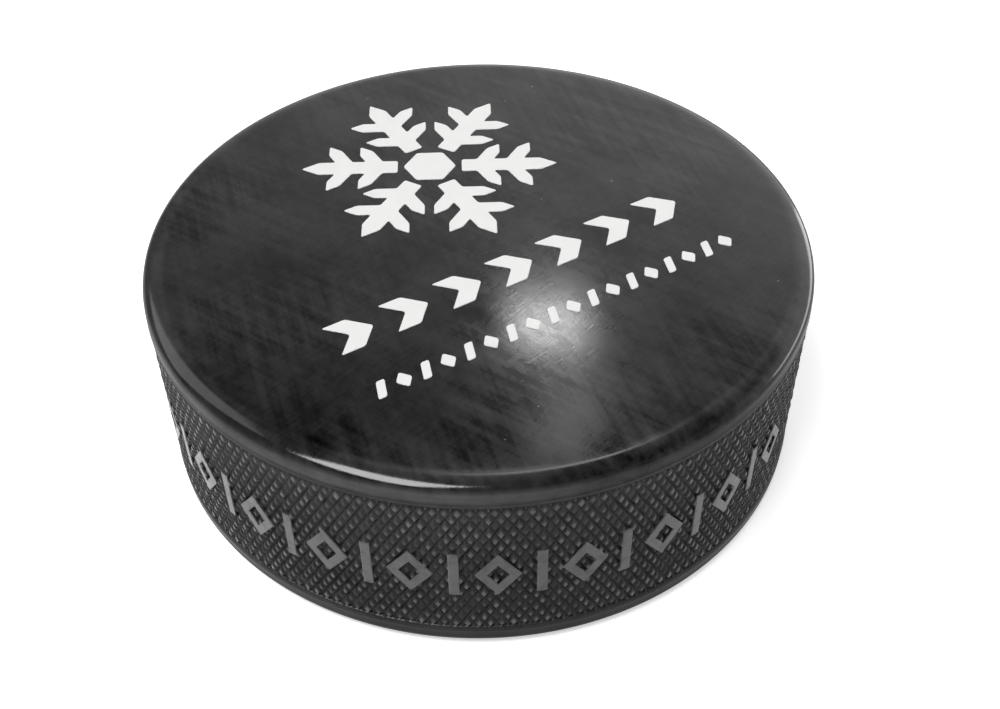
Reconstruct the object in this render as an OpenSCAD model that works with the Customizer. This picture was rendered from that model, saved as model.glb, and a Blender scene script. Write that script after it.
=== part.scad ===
// Ice hockey puck: one vulcanised rubber moulding, with a screen print on its upper face.
// Millimetres, +Z up. The origin is the centre of the lower face, and +X is the way the print reads.
// The knurled band around the edge is turned plain, at the middle of the knurl's depth.

/* [Disc] */
// Largest diameter, over the fine ridges on the smooth lands
puck_d = 76.2; // [75:0.1:78]
// Thickness from flat face to flat face
puck_h = 25.4; // [24:0.1:27]
// How far the rounded shoulder reaches in from the rim
shoulder_in = 2.1; // [1.9:0.05:2.3]
// Radius of the shoulder next to the flat face
shoulder_face_r = 2.9; // [2.6:0.1:3.4]
// Radius of the shoulder next to the rim
shoulder_rim_r = 1.1; // [0.9:0.05:1.3]

/* [Edge] */
// Height of the smooth rim from each face down to the knurl
land_h = 3; // [2.8:0.1:6]
// Depth of the knurl's grooves below the rim
knurl_depth = 0.4; // [0.2:0.05:0.5]
// Distance of the mould's parting line from each face
parting_h = 2.4; // [2.3:0.05:2.5]
// Half the width of the fine ridge at the parting line
parting_w = 0.16; // [0.1:0.02:0.24]
// Height of the fine ridge at the parting line
parting_proud = 0.04; // [0.02:0.02:0.1]

/* [Edge frieze] */
// Number of raised marks, lozenges and bars in turn
frieze_n = 19; // [3:2:31]
// Angle from one mark to the next, in degrees
frieze_step = 6.8; // [6.6:0.1:8]
// Direction of the frieze's middle, in degrees from +X
frieze_angle = -125.5; // [-180:0.5:180]
// Height of the marks
frieze_h = 6.6; // [4:0.1:9]
// Height of the frieze's middle above the lower face
frieze_z = 12.1; // [11:0.1:14]
// Width of a lozenge
lozenge_w = 4.9; // [4:0.1:5.4]
// Width of the raised strokes
stroke_w = 1.1; // [0.8:0.05:1.3]

/* [Print] */
// Thickness of the ink
ink_h = 0.08; // [0.05:0.01:0.15]
// Place of the emblem's centre along the print's reading direction
emblem_x = 1.9; // [-4:0.1:4]
// Place of the emblem's centre across the print's reading direction
emblem_y = 14.6; // [14:0.1:17]
// Radius of the emblem, to the ends of its arms
emblem_r = 15.6; // [15:0.1:16]
// Width of an arm's stem
stem_w = 2.4; // [1.8:0.1:2.8]
// Width of the barbs on an arm
barb_w = 1.8; // [1.2:0.1:2]
// Number of chevrons in the wide row
chevron_n = 7; // [3:1:8]
// Distance from one chevron to the next
chevron_step = 6.7; // [6:0.05:7]
// Height of a chevron
chevron_h = 4.8; // [3:0.1:5.5]
// Width of a chevron's stroke along the row
chevron_w = 2.8; // [1.6:0.1:3.2]
// Middle of the wide row across the reading direction
chevron_y = -7.1; // [-8:0.1:-6]
// Number of marks in the narrow row
mark_n = 18; // [4:1:18]
// Distance from one narrow mark to the next
mark_step = 2.6; // [2.3:0.05:2.7]
// Height of a narrow mark
mark_h = 2.4; // [1.6:0.1:3]
// Middle of the narrow row across the reading direction
mark_y = -16; // [-18:0.1:-13]

/* [Hidden] */
$fn = 180;
puck_r = puck_d / 2;
land_r = puck_r - parting_proud;
band_r = puck_r - knurl_depth / 2;
shoulder_rise = sqrt(pow(shoulder_face_r - shoulder_rim_r, 2) - pow(shoulder_in - shoulder_rim_r, 2));
shoulder_drop = shoulder_face_r - shoulder_rise;
wide_row_x = 0.2;
narrow_row_x = 0.9;
stroke_root = 0.6;
hub_r = 3.2;
arm_gap = 0.7;
inner_barb_at = 6.1;
inner_barb_l = 5;
outer_barb_at = 9.8;
outer_barb_l = 5.2;
barb_angle = 60;
arm_n = 6;
arm_turn = 360 / arm_n;
chevron_nose = 2.2;
tick_w = 1;
tick_lean = 0.9;
rhomb_w = 1.9;
rubber = "#2a2a2c";
ink = "#f3f3f0";

// The upper shoulder's outline: a large arc from the flat face, which a small arc carries on to the rim.
module shoulder_outline() {
    translate([land_r - shoulder_in, puck_h - shoulder_face_r])
        intersection() {
            circle(r = shoulder_face_r);
            polygon([
                [0, 0],
                3 * [shoulder_in - shoulder_rim_r, shoulder_rise],
                [0, 3 * shoulder_face_r]
            ]);
        }
    translate([land_r - shoulder_rim_r, puck_h - shoulder_drop]) circle(r = shoulder_rim_r);
}

// Half of the moulding's section, from the axis to the rim.
module section() {
    for (flip = [0, 1])
        translate([0, flip * puck_h]) mirror([0, flip]) {
            shoulder_outline();
            translate([0, puck_h / 2]) square([land_r - shoulder_in, puck_h / 2]);
            translate([0, puck_h / 2]) square([land_r - shoulder_rim_r, puck_h / 2 - shoulder_drop]);
            translate([0, puck_h - land_h]) square([land_r, land_h - shoulder_drop]);
            translate([0, puck_h - parting_h]) parting_ridge();
        }
    translate([0, land_h]) square([band_r, puck_h - 2 * land_h]);
}

// A fine ridge around the rim, left where the mould's parts met.
module parting_ridge() {
    polygon([
        [land_r - shoulder_rim_r, -parting_w],
        [land_r, -parting_w],
        [puck_r, 0],
        [land_r, parting_w],
        [land_r - shoulder_rim_r, parting_w]
    ]);
}

module lozenge() {
    difference() {
        rhomb(lozenge_w, frieze_h);
        rhomb(lozenge_w - 2.4 * stroke_w, frieze_h - 3.2 * stroke_w);
    }
}

module rhomb(w, h) {
    polygon([[-w / 2, 0], [0, -h / 2], [w / 2, 0], [0, h / 2]]);
}

// The marks stand up from the knurl's grooves to the level of the rim. Each is cut from a radial prism.
module frieze() {
    first = frieze_angle - frieze_step * (frieze_n - 1) / 2;
    intersection() {
        cylinder(r = puck_r, h = puck_h);
        union()
            for (i = [0 : frieze_n - 1])
                rotate([0, 0, first + i * frieze_step])
                    translate([band_r - stroke_root, 0, frieze_z])
                        rotate([90, 0, 90])
                            linear_extrude(2 * stroke_root)
                                if (i % 2 == 0) lozenge();
                                else square([stroke_w, frieze_h], center = true);
    }
}

module puck_body() {
    color(rubber)
        union() {
            rotate_extrude() section();
            frieze();
        }
}

// Lays a flat outline on the upper face as a patch of ink.
module printed(x, y) {
    color(ink) translate([x, y, puck_h]) linear_extrude(ink_h) children();
}

module emblem_hub() {
    printed(emblem_x, emblem_y) rotate(arm_turn / 2) circle(r = hub_r, $fn = 6);
}

// A bar from the origin along +X, with a 60 degree point at its far end.
module crystal_bar(l, w) {
    shaft = l - w * cos(30);
    polygon([[0, -w / 2], [shaft, -w / 2], [l, 0], [shaft, w / 2], [0, w / 2]]);
}

module barbs(at, l) {
    for (side = [-1, 1])
        translate([at, 0]) rotate(side * barb_angle) crystal_bar(l, barb_w);
}

module emblem_arm(i) {
    stem_from = hub_r + arm_gap;
    printed(emblem_x, emblem_y)
        rotate(arm_turn / 2 + (i - 1) * arm_turn) {
            translate([stem_from, 0]) crystal_bar(emblem_r - stem_from, stem_w);
            barbs(inner_barb_at, inner_barb_l);
            barbs(outer_barb_at, outer_barb_l);
        }
}

module title_chevron(i) {
    row_x = wide_row_x + (i - (chevron_n + 1) / 2) * chevron_step;
    printed(row_x - (chevron_w + chevron_nose) / 2, chevron_y)
        polygon([
            [0, -chevron_h / 2],
            [chevron_w, -chevron_h / 2],
            [chevron_w + chevron_nose, 0],
            [chevron_w, chevron_h / 2],
            [0, chevron_h / 2],
            [chevron_nose, 0]
        ]);
}

// Leaning ticks and small rhombs, in turn.
module small_mark(i) {
    printed(narrow_row_x + (i - (mark_n + 1) / 2) * mark_step, mark_y)
        if (i % 2 == 0) rhomb(rhomb_w, mark_h);
        else
            polygon([
                [-(tick_w + tick_lean) / 2, -mark_h / 2],
                [(tick_w - tick_lean) / 2, -mark_h / 2],
                [(tick_w + tick_lean) / 2, mark_h / 2],
                [(tick_lean - tick_w) / 2, mark_h / 2]
            ]);
}

puck_body();
emblem_hub();
for (i = [1 : arm_n]) emblem_arm(i);
for (i = [1 : chevron_n]) title_chevron(i);
for (i = [1 : mark_n]) small_mark(i);
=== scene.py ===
import math
import random

import bmesh
import bpy
from mathutils import Matrix, Vector


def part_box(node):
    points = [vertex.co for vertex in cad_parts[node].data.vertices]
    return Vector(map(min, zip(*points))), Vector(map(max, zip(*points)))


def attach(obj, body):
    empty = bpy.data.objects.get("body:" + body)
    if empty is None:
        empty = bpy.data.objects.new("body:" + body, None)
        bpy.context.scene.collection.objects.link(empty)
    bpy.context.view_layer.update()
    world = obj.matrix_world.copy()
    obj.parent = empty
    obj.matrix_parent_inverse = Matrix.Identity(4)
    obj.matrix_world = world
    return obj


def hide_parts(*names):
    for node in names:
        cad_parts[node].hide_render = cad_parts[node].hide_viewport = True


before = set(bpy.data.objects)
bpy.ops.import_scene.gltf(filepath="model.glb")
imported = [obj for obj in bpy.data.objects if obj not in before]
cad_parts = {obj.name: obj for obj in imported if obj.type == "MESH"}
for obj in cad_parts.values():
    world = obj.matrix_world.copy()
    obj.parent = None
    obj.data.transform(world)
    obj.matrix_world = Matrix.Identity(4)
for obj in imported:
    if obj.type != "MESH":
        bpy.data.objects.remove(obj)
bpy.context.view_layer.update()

# Ice hockey puck. Lengths are in millimetres until a mesh is made, which is where they become metres.
MM = 0.001

body_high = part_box("puck_body")[1]
PUCK_R = body_high.x / MM
PUCK_H = body_high.z / MM
MID_H = PUCK_H / 2

# Shoulder: a large arc next to the flat face, carried on by a small arc down to the rim.
SHOULDER_IN = 2.1
SHOULDER_FACE_R = 2.9
SHOULDER_RIM_R = 1.1

# Smooth land between the shoulder and the knurl, with the mould's parting line on it as a fine ridge.
LAND_H = 3.0
LAND_TAPER = 0.2
PARTING_H = 2.4
PARTING_W = 0.16
PARTING_PROUD = 0.04
LAND_R = PUCK_R - PARTING_PROUD

# Diamond knurl. Helix lines at 30 degrees make each diamond 1.73 times as tall as it is wide.
KNURL_N = 198
KNURL_ROWS = 21
KNURL_DEPTH = 0.40
KNURL_DIAMOND_H = math.sqrt(3) * 2 * math.pi * PUCK_R / KNURL_N
TIP_BELOW_RIM = 0.03
# Two rings of points round each tip: size as a share of the diamond's, and share of its height.
KNURL_RINGS = ((0.46, 0.86), (0.30, 1.0))
CORE_R = PUCK_R - 0.6

# Raised frieze: lozenge outlines and bars in turn.
FRIEZE_N = 19
FRIEZE_STEP = math.radians(6.8)
FRIEZE_MIDDLE = math.radians(-125.5)
FRIEZE_H = 6.6
FRIEZE_Z = 12.1
LOZENGE_W = 4.9
STROKE_W = 1.1
STROKE_CHAMFER = 0.08

# Ink patches: the radius of their corners and the chamfer of their upper edges.
INK_CORNER = 0.28
INK_CHAMFER = 0.04

# Points around the turned core, two to a knurl diamond.
LATHE_N = 2 * KNURL_N

# The camera: how far it stands round from the print's foot and above the floor's plane, its distance from
# the puck's middle, and the small turns about its own axes that place the puck in the photograph's frame.
CAMERA_TURN = math.radians(-30.5)
CAMERA_ELEVATION = math.radians(42.165)
CAMERA_DISTANCE = 157.575
CAMERA_AIM = {"Y": -0.8176, "X": -1.6740, "Z": -1.2976}
CAMERA_LENS = 46.744

# Softboxes: azimuth and elevation in degrees, distance, width and height in metres, and radiance.
# Azimuth 90 is straight behind the puck as the camera sees it.
SOFTBOXES = {
    "back_spot": (85.3, 44.1, 1.0, 0.065, 0.032, 26),
    "back_strip": (83.2, 49.9, 1.0, 0.055, 0.10, 3.0),
    "back_top": (80.2, 59.5, 1.0, 0.20, 0.13, 7.5),
    "front_left": (-143, 67, 1.0, 0.5, 0.32, 16),
    "left_back": (152, 40, 1.0, 0.45, 0.6, 2.0),
    "right_low": (28, 7.5, 1.0, 0.9, 0.25, 4.0),
}

# Half the floor's width, far enough for its edge to stay out of sight.
FLOOR_HALF = 2000


def add_mesh(name, points, faces):
    """A mesh object from points in millimetres."""
    mesh = bpy.data.meshes.new(name)
    mesh.from_pydata([Vector(p) * MM for p in points], [], faces)
    mesh.validate()
    mesh.update()
    piece = bpy.data.objects.new(name, mesh)
    bpy.context.scene.collection.objects.link(piece)
    return piece


def around(radius, angle, z):
    """The point at a radius, an angle and a height."""
    return (radius * math.cos(angle), radius * math.sin(angle), z)


def arc(centre, radius, start, end, steps):
    """Points along an arc, both ends included."""
    angles = [start + (end - start) * k / steps for k in range(steps + 1)]
    return [(centre[0] + radius * math.cos(a), centre[1] + radius * math.sin(a)) for a in angles]


def upper_outline():
    """Half of the core's outline, from the middle of the upper face down to the core at mid height."""
    gap = SHOULDER_FACE_R - SHOULDER_RIM_R
    run = SHOULDER_IN - SHOULDER_RIM_R
    rise = math.sqrt(gap**2 - run**2)
    meet = math.atan2(rise, run)
    face_centre = (LAND_R - SHOULDER_IN, PUCK_H - SHOULDER_FACE_R)
    rim_centre = (LAND_R - SHOULDER_RIM_R, PUCK_H - SHOULDER_FACE_R + rise)
    face = [(face_centre[0] * k / 4, PUCK_H) for k in range(4)]
    shoulder = arc(face_centre, SHOULDER_FACE_R, math.pi / 2, meet, 8)
    shoulder += arc(rim_centre, SHOULDER_RIM_R, meet, 0, 8)[1:]
    parting_z = PUCK_H - PARTING_H
    ridge = [(LAND_R, parting_z + PARTING_W), (PUCK_R, parting_z), (LAND_R, parting_z - PARTING_W)]
    land_z = PUCK_H - LAND_H
    edge = [(LAND_R, land_z + LAND_TAPER), (LAND_R - 0.6 * LAND_TAPER, land_z), (CORE_R, land_z - 0.2)]
    return face + shoulder + ridge + edge


def core():
    """The moulding without its knurl and frieze, turned from its outline."""
    upper = upper_outline()
    outline = upper + [(r, PUCK_H - z) for r, z in reversed(upper)]
    rings = outline[1:-1]
    points = [(0, 0, PUCK_H), (0, 0, 0)]
    turn = 2 * math.pi / LATHE_N
    for r, z in rings:
        points += [around(r, s * turn, z) for s in range(LATHE_N)]
    faces = []
    for s in range(LATHE_N):
        here, there = 2 + s, 2 + (s + 1) % LATHE_N
        last = (len(rings) - 1) * LATHE_N
        faces.append((0, here, there))
        faces.append((1, there + last, here + last))
        for k in range(len(rings) - 1):
            upper_ring, lower_ring = k * LATHE_N, (k + 1) * LATHE_N
            faces.append((here + upper_ring, here + lower_ring, there + lower_ring, there + upper_ring))
    return add_mesh("core", points, faces)


def knurl_surface(z, share):
    """The knurl's radius at a height, from its grooves (share 0) to its tips (share 1).

    It is shallower next to the lands, and dives into the core beyond them."""
    inwards = MID_H - LAND_H - abs(z - MID_H)
    depth = (KNURL_DEPTH - TIP_BELOW_RIM) * min(1, 0.4 + 0.35 * max(inwards, 0))
    return PUCK_R - TIP_BELOW_RIM - depth * (1 - share) - 0.8 * max(-inwards, 0)


def knurl_sleeve():
    """A tube with raised diamonds on its outside. Its plain ends and its inside lie hidden in the core.

    Nodes of a half-diamond grid are groove crossings where column plus row is odd, and diamond
    centres where it is even."""
    draw = random.Random(7)
    columns = 2 * KNURL_N
    turn = 2 * math.pi / columns
    half_h = KNURL_DIAMOND_H / 2
    base_z = MID_H - KNURL_ROWS * half_h / 2
    points = []
    crossing = {}
    for row in range(KNURL_ROWS + 1):
        for column in range((row + 1) % 2, columns, 2):
            crossing[column, row] = len(points)
            z = base_z + row * half_h
            points.append(around(knurl_surface(z, 0), column * turn, z))
    steps = ((1, 0), (0, 1), (-1, 0), (0, -1))
    faces = []
    for row in range(1, KNURL_ROWS):
        for column in range(row % 2, columns, 2):
            outer = [crossing[(column + dc) % columns, row + dr] for dc, dr in steps]
            height = draw.uniform(0.68, 1.0)
            lean = draw.uniform(-0.22, 0.22), draw.uniform(-0.22, 0.22)
            shift = draw.uniform(-0.07, 0.07), draw.uniform(-0.07, 0.07)
            spread = draw.uniform(0.85, 1.12)
            for size, share in KNURL_RINGS:
                inner = list(range(len(points), len(points) + 4))
                for dc, dr in steps:
                    tilt = 1 + size * (lean[0] * dc + lean[1] * dr)
                    angle = (column + shift[0] * share + size * spread * dc) * turn
                    z = base_z + (row + shift[1] * share + size * spread * dr) * half_h
                    points.append(around(knurl_surface(z, height * share * min(tilt, 1)), angle, z))
                faces += [(outer[k], outer[(k + 1) % 4], inner[(k + 1) % 4], inner[k]) for k in range(4)]
                outer = inner
            faces.append(tuple(outer))
    inside_r = CORE_R - 1.2
    inside = {}
    for row in (0, KNURL_ROWS):
        for column in range((row + 1) % 2, columns, 2):
            inside[column, row] = len(points)
            points.append(around(inside_r, column * turn, base_z + row * half_h))
    top = KNURL_ROWS
    for column in range(0, columns, 2):
        left, right = (column - 1) % columns, (column + 1) % columns
        faces.append((crossing[right, 0], crossing[column, 1], crossing[left, 0]))
        faces.append((crossing[left, 0], inside[left, 0], inside[right, 0], crossing[right, 0]))
        start = (column + top % 2) % columns
        left, right = (start - 1) % columns, (start + 1) % columns
        faces.append((crossing[left, top], crossing[start, top - 1], crossing[right, top]))
        faces.append((crossing[right, top], inside[right, top], inside[left, top], crossing[left, top]))
    for column in range(0, columns, 2):
        low_a, low_b = (column + 1) % columns, (column + 3) % columns
        high_a = (low_a + top % 2) % columns
        high_b = (high_a + 2) % columns
        faces.append((inside[low_b, 0], inside[low_a, 0], inside[high_a, top], inside[high_b, top]))
    return add_mesh("knurl_sleeve", points, faces)


def rhomb(half_w, half_h, steps):
    """A rhomb's outline, anticlockwise from its right corner, with steps points to a side."""
    corners = [(half_w, 0), (0, half_h), (-half_w, 0), (0, -half_h)]
    points = []
    for k, start in enumerate(corners):
        end = corners[(k + 1) % 4]
        for s in range(steps):
            share = s / steps
            x = start[0] + (end[0] - start[0]) * share
            y = start[1] + (end[1] - start[1]) * share
            points.append((x, y))
    return points


def shrunk_rhomb(half_w, half_h, inset, steps):
    """The rhomb whose sides lie inset inside those of the one with these half diagonals."""
    share = 1 - inset * math.hypot(half_w, half_h) / (half_w * half_h)
    return rhomb(half_w * share, half_h * share, steps)


def oblong(half_w, half_h):
    return [(half_w, half_h), (-half_w, half_h), (-half_w, -half_h), (half_w, -half_h)]


def wrap(outline, middle, radius):
    """Lays a flat outline on a cylinder around the axis."""
    return [around(radius, middle + x / PUCK_R, FRIEZE_Z + z) for x, z in outline]


def skin_loops(loops, first, ring=False):
    """Faces that join each loop of points to the next, and in a ring also the last to the first.

    All loops have the same number of points."""
    count = len(loops[0])
    faces = []
    for k in range(len(loops) if ring else len(loops) - 1):
        a, b = first + k * count, first + (k + 1) % len(loops) * count
        faces += [(a + s, a + (s + 1) % count, b + (s + 1) % count, b + s) for s in range(count)]
    return faces


def frieze():
    """Every raised mark, as closed solids with chamfered edges whose roots lie hidden in the core."""
    points = []
    faces = []
    root = CORE_R - 0.4
    wall_top = PUCK_R - STROKE_CHAMFER
    half_w, half_h = LOZENGE_W / 2, FRIEZE_H / 2
    steps = 5
    for i in range(FRIEZE_N):
        middle = FRIEZE_MIDDLE + FRIEZE_STEP * (i - (FRIEZE_N - 1) / 2)
        first = len(points)
        if i % 2 == 0:
            rim = rhomb(half_w, half_h, steps)
            rim_cap = shrunk_rhomb(half_w, half_h, STROKE_CHAMFER, steps)
            hole_w = half_w - 1.2 * STROKE_W
            hole_h = half_h - 1.6 * STROKE_W
            hole = rhomb(hole_w, hole_h, steps)
            hole_cap = shrunk_rhomb(hole_w, hole_h, -STROKE_CHAMFER, steps)
            loops = [
                wrap(rim, middle, root),
                wrap(rim, middle, wall_top),
                wrap(rim_cap, middle, PUCK_R),
                wrap(hole_cap, middle, PUCK_R),
                wrap(hole, middle, wall_top),
                wrap(hole, middle, root),
            ]
            faces += skin_loops(loops, first, ring=True)
        else:
            rim = oblong(STROKE_W / 2, FRIEZE_H / 2)
            cap = oblong(STROKE_W / 2 - STROKE_CHAMFER, FRIEZE_H / 2 - STROKE_CHAMFER)
            loops = [wrap(rim, middle, root), wrap(rim, middle, wall_top), wrap(cap, middle, PUCK_R)]
            faces += skin_loops(loops, first)
            faces.append(tuple(first + 2 * len(rim) + s for s in range(len(rim))))
            faces.append(tuple(first + s for s in reversed(range(len(rim)))))
        for loop in loops:
            points += loop
    return add_mesh("frieze", points, faces)


def unite(piece, other):
    """Joins another closed solid to a piece and removes the other."""
    joined = piece.modifiers.new("unite", "BOOLEAN")
    joined.operation = "UNION"
    joined.solver = "MANIFOLD"
    joined.object = other
    graph = bpy.context.evaluated_depsgraph_get()
    mesh = bpy.data.meshes.new_from_object(piece.evaluated_get(graph))
    piece.modifiers.clear()
    piece.data = mesh
    bpy.data.objects.remove(other)


def build_body():
    body = core()
    unite(body, knurl_sleeve())
    unite(body, frieze())
    body.name = "rubber_moulding"
    body.data.name = "rubber_moulding"
    body.data.shade_smooth()
    body.data.set_sharp_from_angle(angle=math.radians(22))
    return body


def build_ink(node_name):
    """A CAD ink patch again, with its corners rounded and its upper edges chamfered."""
    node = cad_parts[node_name]
    form = bmesh.new()
    form.from_mesh(node.data)
    form.transform(Matrix.Scale(1 / MM, 4) @ node.matrix_world)
    bmesh.ops.remove_doubles(form, verts=form.verts, dist=0.001)
    bmesh.ops.dissolve_limit(form, angle_limit=math.radians(1), verts=form.verts, edges=form.edges)
    corners = [e for e in form.edges if abs(e.verts[0].co.z - e.verts[1].co.z) > 0.01]
    bmesh.ops.bevel(form, geom=corners, offset=INK_CORNER, segments=4, profile=0.5, affect="EDGES")
    top = max(v.co.z for v in form.verts)
    form.normal_update()
    rim = [e for e in form.edges if min(v.co.z for v in e.verts) > top - 0.01]
    rim = [e for e in rim if min(f.normal.z for f in e.link_faces) < 0.5]
    bmesh.ops.bevel(form, geom=rim, offset=INK_CHAMFER, segments=1, affect="EDGES")
    form.transform(Matrix.Scale(MM, 4))
    name = "ink_" + node_name
    mesh = bpy.data.meshes.new(name)
    form.to_mesh(mesh)
    form.free()
    piece = bpy.data.objects.new(name, mesh)
    bpy.context.scene.collection.objects.link(piece)
    return piece


class Nodes:
    """A small helper for writing node trees as expressions."""

    def __init__(self, tree):
        self.tree = tree
        tree.nodes.clear()

    def add(self, kind, inputs=(), **settings):
        node = self.tree.nodes.new(kind)
        for key, value in settings.items():
            setattr(node, key, value)
        for key, value in dict(inputs).items():
            if isinstance(value, bpy.types.NodeSocket):
                self.tree.links.new(value, node.inputs[key])
            else:
                node.inputs[key].default_value = value
        return node

    def math(self, operation, a, b=0.0):
        return self.add("ShaderNodeMath", {0: a, 1: b}, operation=operation).outputs[0]

    def total(self, first, *others):
        """The sum of two or more values."""
        for other in others:
            first = self.math("ADD", first, other)
        return first

    def product(self, first, *others):
        """The product of two or more values."""
        for other in others:
            first = self.math("MULTIPLY", first, other)
        return first

    def swing(self, noise, amount):
        """A noise moved to swing about zero, times an amount."""
        return self.product(self.math("SUBTRACT", noise, 0.5), amount)

    def mix(self, share, low, high):
        """The number low where share is 0, and high where it is 1."""
        return self.add("ShaderNodeMix", {0: share, 2: low, 3: high}).outputs[0]

    def colour(self, red, green, blue):
        return self.add("ShaderNodeCombineColor", {0: red, 1: green, 2: blue}).outputs[0]

    def place_in_mm(self):
        """The place on the object in millimetres."""
        place = self.add("ShaderNodeTexCoord").outputs["Object"]
        inputs = {0: place, 1: (1 / MM,) * 3}
        return self.add("ShaderNodeVectorMath", inputs, operation="MULTIPLY").outputs[0]

    def ramp(self, value, low, high, to_low=0.0, to_high=1.0):
        """Carries a range of values smoothly to another."""
        inputs = {"Value": value, "From Min": low, "From Max": high, "To Min": to_low, "To Max": to_high}
        return self.add("ShaderNodeMapRange", inputs, interpolation_type="SMOOTHSTEP").outputs[0]

    def noise(self, vector, scale, detail=2.0, roughness=0.5):
        inputs = {"Vector": vector, "Scale": scale, "Detail": detail, "Roughness": roughness}
        return self.add("ShaderNodeTexNoise", inputs).outputs[0]

    def stretched(self, vector, angle, along, across):
        """Coordinates for streaks that run at an angle in the XY plane."""
        turned = self.add("ShaderNodeVectorRotate", {"Vector": vector, "Angle": -angle}).outputs[0]
        inputs = {"Vector": turned, "Scale": (along, across, 1.0)}
        return self.add("ShaderNodeMapping", inputs).outputs[0]


def new_material(name):
    material = bpy.data.materials.new(name)
    material.use_nodes = True
    return material, Nodes(material.node_tree)


def finish_material(n, inputs):
    shader = n.add("ShaderNodeBsdfPrincipled", inputs)
    n.add("ShaderNodeOutputMaterial", {"Surface": shader.outputs[0]})


def rubber_material():
    """Black rubber: wiped and hazed on the faces, matt and grained on the edge, worn where it's proud,
    with painted light high on the edge and a painted reflection on the scuffed upper land.
    """
    material, n = new_material("rubber")
    mm = n.place_in_mm()
    x, y, z = n.add("ShaderNodeSeparateXYZ", {0: mm}).outputs
    radius = n.math("SQRT", n.total(n.product(x, x), n.product(y, y)))
    off_middle = n.math("ABSOLUTE", n.math("SUBTRACT", z, MID_H))
    edge = n.ramp(off_middle, MID_H - PARTING_H - 0.1, MID_H - PARTING_H, 1.0, 0.0)
    band = n.ramp(off_middle, MID_H - LAND_H - 0.1, MID_H - LAND_H + 0.1, 1.0, 0.0)

    # Noises, and the places where the face was wiped.
    wipe = n.noise(n.stretched(mm, math.radians(-66), 0.05, 0.6), 1.0, 5.0, 0.62)
    wipe_far = n.noise(n.stretched(mm, math.radians(-104), 0.06, 1.0), 1.0, 4.0, 0.6)
    hatch = n.noise(n.stretched(mm, math.radians(16), 0.5, 3.2), 1.0, 3.0, 0.6)
    cloud = n.noise(mm, 0.11, 4.0, 0.55)
    mottle = n.noise(mm, 0.9, 3.0, 0.6)
    grain = n.noise(mm, 3.2, 3.0, 0.6)
    elsewhere = n.add("ShaderNodeVectorMath", {0: mm, 1: (40, 0, 0)}).outputs[0]
    where_wiped = n.ramp(n.noise(elsewhere, 0.05), 0.38, 0.6)

    # Haze, from 0 on the blackest rubber to 1 on the greyest.
    streaks = n.total(n.product(wipe, 0.6), n.product(wipe_far, 0.4))
    streaks = n.swing(streaks, n.total(where_wiped, 0.35))
    marks = n.total(streaks, n.swing(cloud, 0.45), n.swing(mottle, 0.13), n.swing(hatch, 0.16))
    haze = n.ramp(marks, -0.28, 0.28)

    # Pale specks, the shoulder's turn, worn tips, the scuffed upper land with a painted reflection on it,
    # and painted light high on the edge.
    specks = n.add("ShaderNodeTexVoronoi", {"Vector": mm, "Scale": 0.22}).outputs["Distance"]
    specks = n.product(n.ramp(specks, 0.022, 0.034, 1.0, 0.0), n.ramp(cloud, 0.46, 0.5))
    rim_in = n.ramp(radius, 35.3, 36.1)
    rim_out = n.ramp(radius, 36.4, 37.3, 1.0, 0.0)
    rim = n.product(rim_in, rim_out, n.ramp(cloud, 0.3, 0.6, 0.4, 1.0))
    tips = n.ramp(radius, PUCK_R - 0.16, PUCK_R - 0.02)
    wear = n.product(tips, band, n.ramp(mottle, 0.2, 0.6, 0.6, 1.0))
    # Upper land: partly scuffed rubber and partly a painted reflection of the bright low surroundings,
    # lighter and rougher between these heights. It is painted lighter on the left side, where the light
    # falls, than on the right.
    scuff_and_reflection_low = n.ramp(z, PUCK_H - 2.6, PUCK_H - 1.8)
    scuff_and_reflection_high = n.ramp(z, PUCK_H - 1.2, PUCK_H - 0.5, 1.0, 0.0)
    painted_left_light = n.ramp(x, -34.0, 12.0, 1.0, 0.2)
    scuff_and_painted_reflection = n.product(scuff_and_reflection_low, scuff_and_reflection_high, n.ramp(cloud, 0.3, 0.6, 0.5, 1.0), painted_left_light)
    # Painted light: the edge is painted lighter towards the top, where light falls from above.
    painted_light_from_above = n.product(edge, n.ramp(z, 8.0, 22.0))

    face_rough = n.total(n.product(haze, 0.06), 0.085)
    edge_rough = n.total(n.product(grain, 0.16), 0.30)
    rough = n.mix(edge, face_rough, edge_rough)
    rough = n.total(rough, n.product(rim, 0.10), n.product(scuff_and_painted_reflection, 0.12))
    tone = n.total(
        n.product(haze, 0.034),
        n.product(edge, 0.010),
        n.product(wear, 0.095),
        n.product(rim, 0.012),
        n.product(scuff_and_painted_reflection, 0.095),
        n.product(painted_light_from_above, 0.020),
        n.product(specks, 0.12),
    )
    grain_height = n.product(grain, n.total(n.product(edge, 0.030), 0.002))
    face_height = n.total(n.product(hatch, 0.004), n.product(mottle, 0.0015))
    height = n.total(grain_height, face_height)
    bump = n.add("ShaderNodeBump", {"Height": height, "Strength": 1.0, "Distance": MM})
    finish_material(
        n,
        {
            "Base Color": n.colour(tone, tone, tone),
            "Roughness": rough,
            "IOR": 1.40,
            "Normal": bump.outputs[0],
            "Sheen Weight": n.product(wear, 0.9),
            "Sheen Roughness": 0.4,
        },
    )
    return material


def ink_material():
    """White screen ink, a little uneven in tone and gloss."""
    material, n = new_material("print_ink")
    mm = n.place_in_mm()
    cloud = n.noise(mm, 0.5, 4.0, 0.6)
    grain = n.noise(mm, 5.0, 2.0, 0.5)
    tone = n.total(n.product(cloud, 0.08), 0.68)
    bump = n.add("ShaderNodeBump", {"Height": grain, "Strength": 0.3, "Distance": 0.02 * MM})
    finish_material(
        n,
        {
            "Base Color": n.colour(tone, tone, n.product(tone, 0.99)),
            "Roughness": n.total(n.product(cloud, 0.2), 0.35),
            "IOR": 1.5,
            "Normal": bump.outputs[0],
        },
    )
    return material


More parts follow.
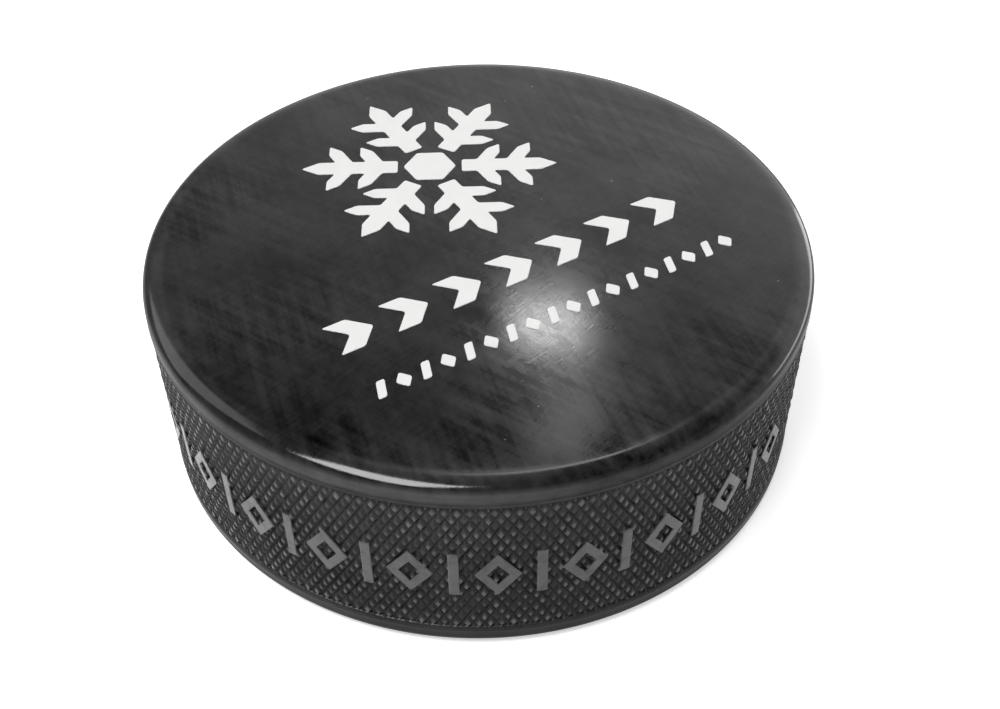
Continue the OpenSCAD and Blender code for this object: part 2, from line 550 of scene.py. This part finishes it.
def floor_material():
    """A floor that glows though it is no lamp: white to the camera, and a grey with a faint glow in what
    the puck mirrors.
    """
    material, n = new_material("floor")
    place = n.add("ShaderNodeTexCoord").outputs["Object"]
    distance = n.add("ShaderNodeVectorMath", {0: place}, operation="LENGTH").outputs["Value"]
    seen = n.add("ShaderNodeLightPath").outputs["Is Camera Ray"]
    tone = n.total(n.mix(seen, 0.36, 0.86), n.product(n.noise(place, 4.0, 3.0, 0.5), 0.02))
    # Painted glow: to the camera the floor glows less close to the puck, so that its shadow shows there,
    # and more further off.
    seen_glow = n.ramp(distance, 0.15, 1.0, 0.56, 1.0)
    finish_material(
        n,
        {
            "Base Color": n.colour(tone, tone, tone),
            "Roughness": 0.7,
            "IOR": 1.4,
            "Emission Color": (1, 1, 1, 1),
            "Emission Strength": n.mix(seen, 0.15, seen_glow),
        },
    )
    return material


def add_camera():
    """A camera at the photograph's angle."""
    data = bpy.data.cameras.new("camera")
    data.sensor_width = 36.0
    data.lens = CAMERA_LENS
    data.clip_start = 0.01
    camera = bpy.data.objects.new("camera", data)
    bpy.context.scene.collection.objects.link(camera)
    place = (
        Matrix.Translation((0, 0, 12.7 * MM))
        @ Matrix.Rotation(CAMERA_TURN, 4, "Z")
        @ Matrix.Rotation(math.pi / 2 - CAMERA_ELEVATION, 4, "X")
        @ Matrix.Translation((0, 0, CAMERA_DISTANCE * MM))
    )
    for axis, angle in CAMERA_AIM.items():
        place = place @ Matrix.Rotation(math.radians(angle), 4, axis)
    camera.matrix_world = place
    bpy.context.scene.camera = camera


def add_softbox(name, azimuth, elevation, distance, width, height, radiance):
    """A rectangular light that faces the puck."""
    data = bpy.data.lights.new(name, "AREA")
    data.shape = "RECTANGLE"
    data.size = width
    data.size_y = height
    data.energy = radiance * math.pi * width * height
    light = bpy.data.objects.new(name, data)
    bpy.context.scene.collection.objects.link(light)
    around_z = CAMERA_TURN + math.radians(azimuth)
    tilt = math.radians(elevation)
    towards = Vector(around(math.cos(tilt), around_z, math.sin(tilt)))
    light.location = towards * distance
    light.rotation_euler = towards.to_track_quat("Z", "Y").to_euler()


def add_world():
    """Soft surroundings: white to the camera, and a graded studio wall in what the puck mirrors."""
    world = bpy.data.worlds.new("studio")
    bpy.context.scene.world = world
    world.use_nodes = True
    n = Nodes(world.node_tree)
    direction = n.add("ShaderNodeTexCoord").outputs["Generated"]
    up = n.add("ShaderNodeSeparateXYZ", {0: direction}).outputs[2]
    wall = n.ramp(up, math.sin(math.radians(34)), math.sin(math.radians(52)), 1.05, 0.05)
    bright_side = CAMERA_TURN + math.radians(50)
    towards = (math.cos(bright_side), math.sin(bright_side), 0)
    side = n.add("ShaderNodeVectorMath", {0: direction, 1: towards}, operation="DOT_PRODUCT")
    wall = n.product(wall, n.ramp(side.outputs["Value"], 0.30, 0.85, 0.22, 1.27))
    seen = n.add("ShaderNodeLightPath").outputs["Is Camera Ray"]
    strength = n.math("MAXIMUM", wall, seen)
    background = n.add("ShaderNodeBackground", {"Color": (1, 1, 1, 1), "Strength": strength})
    n.add("ShaderNodeOutputWorld", {"Surface": background.outputs[0]})


def add_floor(material):
    points = [(x, y, 0) for x, y in oblong(FLOOR_HALF, FLOOR_HALF)]
    floor = add_mesh("floor", points, [(0, 1, 2, 3)])
    floor.data.materials.append(material)


body = build_body()
body.data.materials.clear()
body.data.materials.append(rubber_material())
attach(body, "root")
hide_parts("puck_body")

ink = ink_material()
for node_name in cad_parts:
    if node_name != "puck_body":
        patch = build_ink(node_name)
        patch.data.materials.append(ink)
        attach(patch, "root")
        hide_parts(node_name)

add_floor(floor_material())
add_camera()
add_world()
for name, settings in SOFTBOXES.items():
    add_softbox(name, *settings)
bpy.context.scene.view_settings.view_transform = "Standard"
